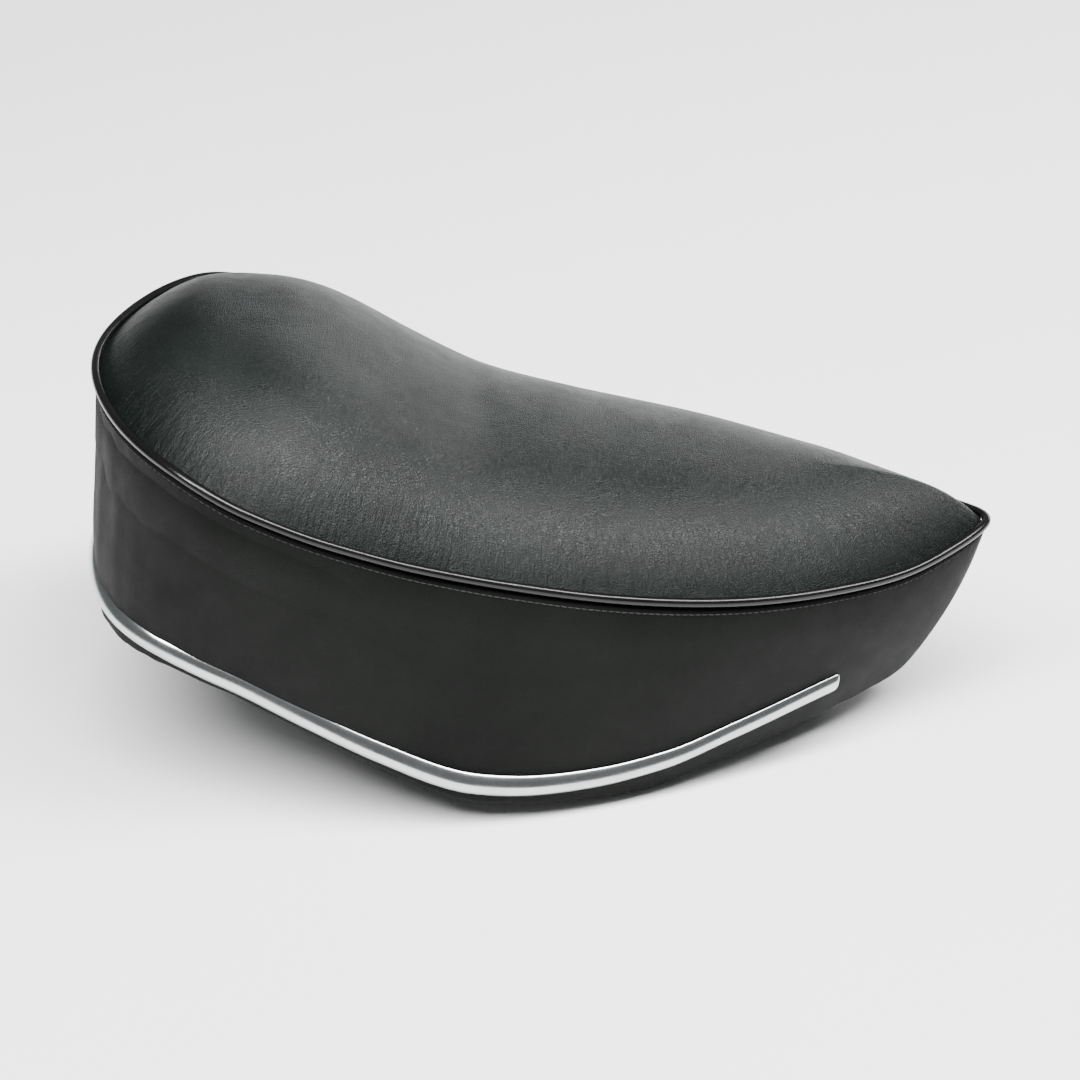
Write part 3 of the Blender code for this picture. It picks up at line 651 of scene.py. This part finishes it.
def along(curve, pitch):
    """Ring angles spaced evenly along a closed curve."""
    u = np.linspace(0, 2 * math.pi, 4001)
    p = curve(u)
    run = np.concatenate([[0], np.cumsum(np.linalg.norm(np.diff(p, axis=0), axis=1))])
    count = int(run[-1] / pitch)
    return np.interp(np.arange(count) * run[-1] / count, run, u)


def stitches():
    """Thread lying on the folded edge of the skirt, one short loop for each stitch."""
    def line(u):
        rise = seam_z(u) - edge_z(u)
        return skirt(u, 1 - STITCH_DROP / rise, -STITCH_OUT)

    centres = along(line, STITCH_PITCH)
    step = np.diff(centres).mean()
    verts, faces = [], []
    ends, around = 7, 8
    for k, c in enumerate(centres):
        us = c + np.linspace(-STITCH_HALF, STITCH_HALF, ends) * step
        path = line(us)
        lift = np.sin(np.linspace(0, math.pi, ends)) ** 0.6
        n = inward(seam_plan, us)
        slope = 0.12 * math.sin(k * 2.3)
        for j in range(ends):
            out = -np.array([*n[j], 0])
            centre = path[j] + out * (0.28 * lift[j] - 0.2) + np.array([0, 0, slope * (j - 3) / 3])
            r = THREAD_R * (0.55 + 0.45 * lift[j])
            for a in ring(around):
                verts.append(centre + out * r * math.cos(a) + np.array([0, 0, r * math.sin(a)]))
        start = k * ends * around
        for j in range(ends - 1):
            for i in range(around):
                a, b = start + j * around + i, start + j * around + (i + 1) % around
                faces.append((a, b, b + around, a + around))
        faces.append(tuple(range(start, start + around))[::-1])
        faces.append(tuple(range(start + (ends - 1) * around, start + ends * around)))
    return mesh_piece("seam_stitches", verts, faces)


# ---- moulding --------------------------------------------------------------------------------
def trim_frame(u):
    """Centre line of the moulding on the skirt, its outward normals and its upward direction."""
    h = TRIM_HALF + spline(TRIM_BAND, edge_plan(u)[:, 0])
    p = skirt(u, level(u, h), 0.0)
    up = skirt(u, level(u, h + TRIM_HALF), 0.0) - skirt(u, level(u, h - TRIM_HALF), 0.0)
    up /= np.linalg.norm(up, axis=1)[:, None]
    out = np.column_stack([-inward(edge_plan, u), np.zeros(len(u))])
    out -= up * (out * up).sum(1)[:, None]
    return p, out / np.linalg.norm(out, axis=1)[:, None], up


def u_at(x, side):
    """Ring angle of the lower edge at a length position; side -1 is the near side."""
    c = math.acos(1 - 2 * (x - EDGE_X0) / EDGE_LENGTH)
    return c if side < 0 else 2 * math.pi - c


def trim_moulding():
    """Rolled half-round moulding, hollow behind, with pressed rounded ends."""
    end = u_at(TRIM_END_X, -1)
    fine = np.linspace(-end, end, 801)
    p, _, _ = trim_frame(fine)
    run = np.concatenate([[0], np.cumsum(np.linalg.norm(np.diff(p, axis=0), axis=1))])
    round_r = 2.6
    caps = round_r * (1 - np.cos(np.linspace(0, math.pi / 2, 9)))
    middle = np.linspace(round_r, run[-1] - round_r, 620)[1:-1]
    spots = np.concatenate([caps, middle, run[-1] - caps[::-1]])
    u = np.interp(spots, run, fine)
    p, out, up = trim_frame(u)
    reach = np.minimum(spots, run[-1] - spots)
    shrink = np.sqrt(1 - np.clip(1 - reach / round_r, 0, 1) ** 2)
    section = []
    lip = 0.5
    for sheet, order in ((0.0, 1), (TRIM_SHEET, -1)):
        for k in range(25)[::order]:
            a = math.pi * (k / 24 - 0.5)
            crest = (TRIM_PROUD - sheet - TRIM_GAP) * (1 - abs(math.sin(a)) ** 1.5) ** 0.7
            section.append((TRIM_GAP + crest, (TRIM_HALF - sheet) * math.sin(a)))
    rows = []
    for i in range(len(u)):
        k = max(shrink[i], 0.02)
        rows.append([p[i] + out[i] * (lip + (o - lip) * (0.35 + 0.65 * k) if o > lip else o)
                     + up[i] * v * (0.55 + 0.45 * k) for o, v in section])
    return grid_piece("trim_moulding", rows, closed=False, caps=True)


# ---- foam and pan ----------------------------------------------------------------------------
def foam_block():
    """Moulded foam between the pan and the covers."""
    u = ring(240)
    clear = COVER + SLACK
    shoulder = skirt(u, level(u, pan_rise(u)), clear + 5.5)
    rows = [dome_row(shoulder, t, lambda x, t: spline(PAN_HEIGHT, x) + SLACK)
            for t in (0.0, 0.25, 0.5, 0.72, 0.95)]
    rows.append(np.column_stack([shoulder[:, :2], spline(PAN_HEIGHT, shoulder[:, 0]) + SLACK]))
    rows += [skirt(u, s, clear) for s in (level(u, pan_rise(u) + 3.0), 0.48, 0.64, 0.82)]
    inset = WELT_INSET + COVER + GAP
    rows.append(seam_loop(u, inset, -SEAM_DEPTH))
    base = seam_loop(u, inset, 0)
    rows += [dome_row(base, t, lambda x, t: crown(x, t, COVER + GAP + 1.6)) for t in DOME_LEVELS]
    return grid_piece("foam_block", rows, closed=False)


def pan():
    """Pressed pan: wall, rounded shoulder, a raised bead round the flat and a recessed middle."""
    u = ring(720)
    shoulder = 5.0

    def side(off):
        base = COVER + SLACK + off
        rise = pan_rise(u)
        rows = [skirt(u, level(u, h), base) for h in (COVER + GAP, 6.0, 11.0)]
        rows += [skirt(u, level(u, 11.0) * (1 - k) + level(u, rise - 6.0) * k, base)
                 for k in (0.33, 0.66, 1.0)]
        for k in range(1, 7):
            a = math.pi / 2 * k / 7
            drop, inset = shoulder * (1 - math.sin(a)), shoulder * (1 - math.cos(a))
            rows.append(skirt(u, level(u, rise - off - drop), base + inset))
        flat = skirt(u, level(u, rise), COVER + SLACK + shoulder + off * 0.3)

        def height(x, t):
            recess = PANEL_DROP * smoothstep((0.69 - t) / 0.08)
            bead = 0.75 * math.exp(-((t - 0.78) / 0.018) ** 2)
            return spline(PAN_HEIGHT, x) - off - recess + bead

        levels = (1.0, 0.9, 0.84, *np.linspace(0.82, 0.6, 34), 0.5, 0.35, 0.2, 0.0)
        return rows + [dome_row(flat, t, height) for t in levels]

    return grid_piece("pressed_pan", side(0.0)[::-1] + side(STEEL), closed=False)


# ---- hardware --------------------------------------------------------------------------------
def hexagon(flat, segments=48):
    """Radii of a hexagon, given half its width across flats."""
    a = ring(segments)
    return flat / np.cos((a + math.pi / 6) % (math.pi / 3) - math.pi / 6)


def nut(name, origin, axis, low, high, flat, bore):
    """Hexagon nut with chamfered corners."""
    full, rim, cut = hexagon(flat), 0.96 * flat, 0.55
    profile = [(bore, low), (bore, high), (rim, high), (full, high - cut), (full, low + cut),
               (rim, low)]
    return turned(name, profile, origin, axis, 48)


def thread(radius, start, end, pitch=0.8):
    """Profile of a thread between two distances along its axis."""
    n = int(abs(end - start) / pitch * 2)
    return [(radius * (1 if k % 2 else 0.87), start + (end - start) * k / n) for k in range(n + 1)]


def tube(name, path, radius, around=20):
    """Round wire along a path that lies in one plane across Y."""
    path = np.asarray(path, float)
    run = np.gradient(path, axis=0)
    run /= np.linalg.norm(run, axis=1)[:, None]
    side = np.cross(run, (0, 1, 0))
    rows = [p + radius * (math.cos(a) * n + math.sin(a) * np.array([0, 1.0, 0]))
            for p, n in zip(path, side) for a in ring(around)]
    return grid_piece(name, np.reshape(rows, (len(path), around, 3)), closed=False, caps=True)


def stud_places():
    """Centre on the skirt and outward normal of each moulding stud."""
    u = np.array([0.0] + [u_at(x, side) for side in (-1, 1) for x in STUD_X])
    p, n, _ = trim_frame(u)
    return list(zip(p, n))


def fasteners(zinc):
    """Studs, screws, bolts and nuts that ride with the saddle."""
    stud = thread(STUD_R, -STUD_SEAT - 6.0, -STUD_SEAT + 0.4)
    stud += [(STUD_R, 0.9), (3.1, 0.9), (3.2, 1.0), (3.2, 1.8), (3.1, 1.9)]
    for i, (centre, normal) in enumerate(stud_places(), 1):
        piece = turned(f"stud_{i}", stud, centre, normal, 32, closed=False)
        dress(piece, zinc, stands_for=(f"trim_stud_{i}",))
        piece = nut(f"stud_nut_{i}", centre, normal, -STUD_SEAT - STUD_NUT, -STUD_SEAT, STUD_NUT,
                    STUD_R + BORE_PLAY)
        dress(piece, zinc, stands_for=(f"trim_nut_{i}",))
    top = BUFFER_TOP + 2 * GAP + BRIDGE_SHEET
    screw = thread(M6_R, top + 8, 12.9, M6_PITCH)
    screw += [(3.2, 12.7), (5.1, 12.7), (5.5, 12.3), (5.5, 9.3), (5.0, 8.8), (2.6, 8.8), (2.4, 9.0),
              (2.4, 11.4)]
    for tag, side in (("near", -1), ("far", 1)):
        origin = (BRIDGE_X, side * BUFFER_Y, 0)
        piece = turned(f"foot_screw_{tag}", screw, origin, (0, 0, 1), 48, closed=False)
        dress(piece, zinc, stands_for=(f"buffer_screw_{tag}",))
        piece = nut(f"foot_nut_{tag}", origin, (0, 0, 1), top, top + 5, M6_NUT, M6_R + BORE_PLAY)
        dress(piece, zinc, stands_for=(f"buffer_nut_{tag}",))
    recess = float(spline(PAN_HEIGHT, LEAF_X)) - PANEL_DROP
    under = recess - STEEL - GAP - LEAF_WEB - 0.3
    head = ((1.0, 2.7), (2.6, 2.55), (4.2, 2.0), (5.4, 1.2), (6.0, 0.3), (M6_R, 0.3))
    bolt = [(r, recess + h) for r, h in head] + thread(M6_R, under + 0.5, under - 6.5, M6_PITCH)
    for i, x in enumerate(BOLT_X, 1):
        piece = turned(f"hinge_bolt_{i}", bolt, (x, 0, 0), (0, 0, 1), 48, closed=False)
        dress(piece, zinc, stands_for=(f"leaf_bolt_{i}",))
        piece = nut(f"hinge_nut_{i}", (x, 0, 0), (0, 0, 1), under - 4.6, under, M6_NUT,
                    M6_R + BORE_PLAY)
        dress(piece, zinc, stands_for=(f"leaf_nut_{i}",))


def rubber_feet(rubber):
    """Tapered feet with a counterbore for the screw."""
    foot = [(3.5, 13.0), (3.5, BUFFER_TOP), (12.4, BUFFER_TOP), (12.9, BUFFER_TOP - 0.4),
            (13.1, BUFFER_TOP - 1.2), (13.6, 15.0), (14.3, 6.0), (14.7, 2.6), (14.7, 1.6), (14.3, 0.5),
            (13.6, 0.0), (8.0, 0.0), (7.3, 0.4), (7.0, 1.2), (7.0, 12.4), (6.6, 13.0)]
    for tag, side in (("near", -1), ("far", 1)):
        piece = turned(f"rubber_foot_{tag}", foot, (BRIDGE_X, side * BUFFER_Y, 0), (0, 0, 1), 96)
        dress(piece, rubber, stands_for=(f"buffer_{tag}",))


def hinge_fittings(zinc, nylon):
    """Headed pin, washer, split pin and bushes."""
    origin = (PIN_X, 0, PIN_Z)
    pin = [(2.3, 16.2), (2.8, 15.9), (3.0, 15.4), (3.0, -11.6), (4.8, -11.6), (5.0, -11.8),
           (5.0, -13.2), (4.6, -13.6)]
    piece = turned("headed_pin", pin, origin, (0, 1, 0), closed=False)
    dress(piece, zinc, "frame", ("hinge_pin",))
    washer = [(3.1, 12.6), (5.8, 12.6), (6.0, 12.4), (6.0, 11.8), (5.8, 11.6), (3.1, 11.6)]
    dress(turned("washer", washer[::-1], origin, (0, 1, 0), 64), zinc, "frame", ("pin_washer",))
    y = SPLIT_PIN_Y
    eye = [(PIN_X - 5.6 + 1.25 * math.cos(a), y, PIN_Z + 1.25 * math.sin(a))
           for a in np.linspace(-0.5, 5.3, 18)]
    legs = [(PIN_X + dx, y, PIN_Z + dz) for dx, dz in ((-3.6, -0.1), (0, 0), (3.4, 0), (4.6, 0.3))]
    dress(tube("cotter", eye + legs, 0.6), zinc, "frame", ("split_pin",))
    bush = [(3.07, 8.8), (3.07, 5.0), (4.15, 5.0), (4.25, 5.15), (4.25, 7.65), (5.4, 7.65),
            (5.6, 7.8), (5.6, 8.6), (5.4, 8.8)]
    for tag, side in (("near", -1), ("far", 1)):
        piece = turned(f"bush_{tag}", bush, origin, (0, side, 0), 64)
        dress(piece, nylon, stands_for=(f"hinge_bush_{tag}",))


# ---- studio ----------------------------------------------------------------------------------
def studio():
    """Pale floor, soft overhead light, a low glow from behind and a dark room in front."""
    bpy.ops.mesh.primitive_plane_add(size=9.0, location=(0, 1.0, 0))
    floor = bpy.context.object
    floor.name = "studio_floor"
    look = Look("floor_paper", 0.9, specular=0.1)
    look.colour(look.blend(look.noise(3.0, 3.0), (0.86, 0.86, 0.86), (0.9, 0.9, 0.9)))
    look.bump(look.noise(300.0, 3.0), 0.05, 0.3)
    floor.data.materials.append(look.material)

    def area(name, power, size, place, aim):
        lamp = bpy.data.lights.new(name, "AREA")
        lamp.energy, lamp.shape, lamp.size, lamp.size_y = power, "RECTANGLE", *size
        ob = bpy.data.objects.new(name, lamp)
        ob.location = place
        ob.rotation_euler = (Vector(aim) - Vector(place)).to_track_quat("-Z", "Y").to_euler()
        bpy.context.scene.collection.objects.link(ob)

    area("overhead", 360.0, (4.8, 0.6), (0.4, -0.52, 2.2), (0.2, 0, 0))
    area("behind", 27.0, (2.6, 0.5), (1.1, 2.2, 0.6), (0, 0, 0.1))
    world = bpy.data.worlds.new("studio")
    world.use_nodes = True
    world.node_tree.nodes["Background"].inputs[0].default_value = (0.95, 0.98, 1.0, 1)
    world.node_tree.nodes["Background"].inputs[1].default_value = 0.2
    bpy.context.scene.world = world


def camera():
    """Long lens, 31 degrees above the horizon, square to the saddle's side."""
    elevation, distance = math.radians(31.0), 1.7
    target = Vector((0.0001, 0.0, 0.0902))
    lens = bpy.data.cameras.new("camera")
    lens.lens, lens.sensor_width = 112.46, 36.0
    lens.clip_start, lens.clip_end = 0.05, 50.0
    ob = bpy.data.objects.new("camera", lens)
    ob.location = target + distance * Vector((0, -math.cos(elevation), math.sin(elevation)))
    ob.rotation_euler = (target - ob.location).to_track_quat("-Z", "Y").to_euler()
    bpy.context.scene.collection.objects.link(ob)
    bpy.context.scene.camera = ob


def carried_over(paint):
    """Bridge, hinge leaf and frame bracket, shown as they are in CAD with their edges broken."""
    for name, slot in (("rear_bridge", "pan_steel"), ("hinge_leaf", "bracket_steel"),
                       ("frame_bracket", "bracket_steel")):
        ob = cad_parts[name]
        ob.data.materials.clear()
        ob.data.materials.append(paint)
        soft = ob.modifiers.new("edges", "BEVEL")
        soft.width, soft.segments, soft.limit_method, soft.angle_limit = 0.5 * MM, 2, "ANGLE", 0.6


def build():
    studio()
    camera()
    paint = painted_steel("black_enamel", (0.018, 0.018, 0.019))
    zinc = zinc_plate("zinc_plate")
    carried_over(painted_steel("bracket_enamel", (0.02, 0.02, 0.021), NO_WEAR))
    dress(pan(), paint, stands_for=("seat_pan",))
    fasteners(zinc)
    rubber_feet(moulded("buffer_rubber_skin", (0.02, 0.02, 0.021), 0.75, 0.08))
    hinge_fittings(zinc, moulded("nylon_skin", (0.62, 0.6, 0.52), 0.45, 0.04))
    top_vinyl = vinyl("top_vinyl_grain", (0.0020, 0.0032, 0.0026), (0.0036, 0.0054, 0.0045),
                      roughness=0.39, grain=0.13, wrinkle=0.8, specular=0.21)
    side_vinyl = vinyl("side_vinyl_grain", (0.004, 0.0046, 0.004), (0.0062, 0.007, 0.0062),
                       roughness=0.6, grain=0.16, wrinkle=0.25, specular=0.07)
    welt_vinyl = vinyl("welt_vinyl_gloss", (0.002, 0.002, 0.002), (0.0035, 0.0035, 0.0035),
                       roughness=0.21, grain=0.006, wrinkle=0, specular=0.3)
    panel = dress(top_panel(), top_vinyl, stands_for=("top_cover",))
    dress(foam_block(), foam_look("foam_pores"), stands_for=("foam_core",))
    dress(side_skirt(), side_vinyl, stands_for=("side_cover",))
    dress(welt(), welt_vinyl, stands_for=("piping",))
    dress(stitches(), moulded("thread", (0.004, 0.004, 0.004), 0.75, 0.03))
    dress(trim_moulding(), bright_metal("moulding_bright", (0.53, 0.55, 0.55), 0.15, 0.03),
          stands_for=("trim_strip",))


build()
